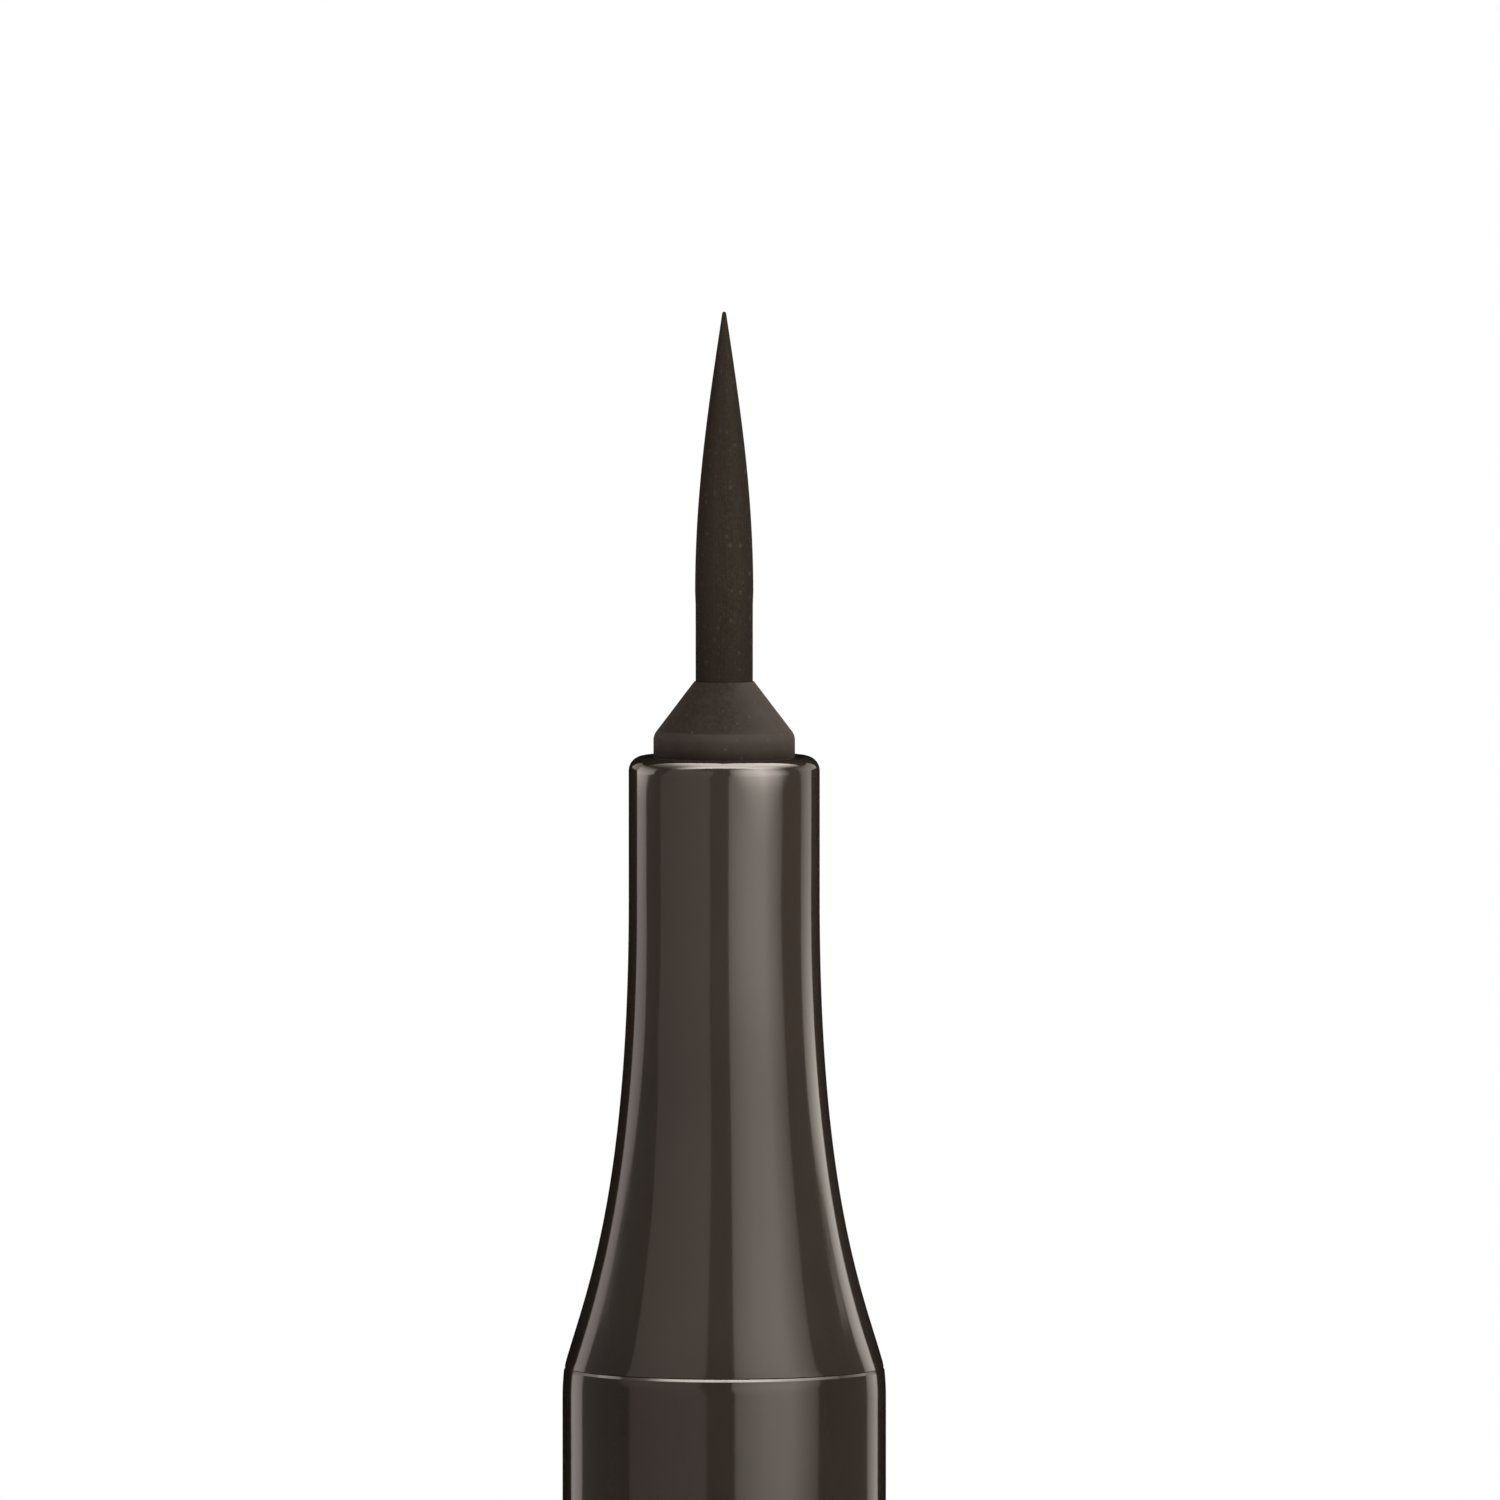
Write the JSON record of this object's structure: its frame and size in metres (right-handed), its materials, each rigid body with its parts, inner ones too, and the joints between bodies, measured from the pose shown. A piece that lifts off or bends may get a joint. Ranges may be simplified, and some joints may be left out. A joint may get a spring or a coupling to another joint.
{
  "type": "eyebrow pen",
  "caption": "Slim round cosmetic pen with a fine pointed brush, a flared neck, a straight barrel and a cap posted on its tail.",
  "frame": {"origin": "centre of the flat closed end of the cap, which the pen stands on", "axes": "+Z along the pen's axis, from the cap's closed end to the point of the brush"},
  "size_m": [0.01, 0.01, 0.1566],
  "materials": {
    "body_plastic": "glossy dark brown moulded plastic",
    "holder_plastic": "satin dark brown plastic, stained by the ink",
    "brush_fibre": "fine fibres wet with dark brown ink",
    "core_fibre": "pressed fibre soaked with ink",
    "natural_plastic": "natural translucent plastic",
    "seal_plastic": "smooth dark plastic",
    "ball_steel": "polished stainless steel",
    "spring_steel": "drawn stainless wire"
  },
  "bodies": {
    "cap_shell": {"cap": "body_plastic", "cap_spring": "spring_steel"},
    "cap_seal": {"inner_cap": "seal_plastic"},
    "pen": {"barrel": "body_plastic", "front_section": "body_plastic", "brush_holder": "holder_plastic", "brush_tip": "brush_fibre", "ink_regulator": "natural_plastic", "relay_core": "core_fibre", "tail_plug": "body_plastic"},
    "ball": {"stirring_ball": "ball_steel"}
  },
  "joints": [
    {"name": "cap_pull", "type": "slide", "parent": "cap_shell", "child": "pen", "axis": [0, 0, 1], "range_m": [0, 0.018]},
    {"name": "seal_push", "type": "slide", "parent": "cap_shell", "child": "cap_seal", "axis": [0, 0, -1], "range_m": [0, 0.002], "stiffness_N_per_m": 120, "springref_m": -0.004, "deforming": ["cap_spring"]},
    {"name": "ball_roll", "type": "slide", "parent": "pen", "child": "ball", "axis": [0, 0, 1], "range_m": [0, 0.065]}
  ]
}
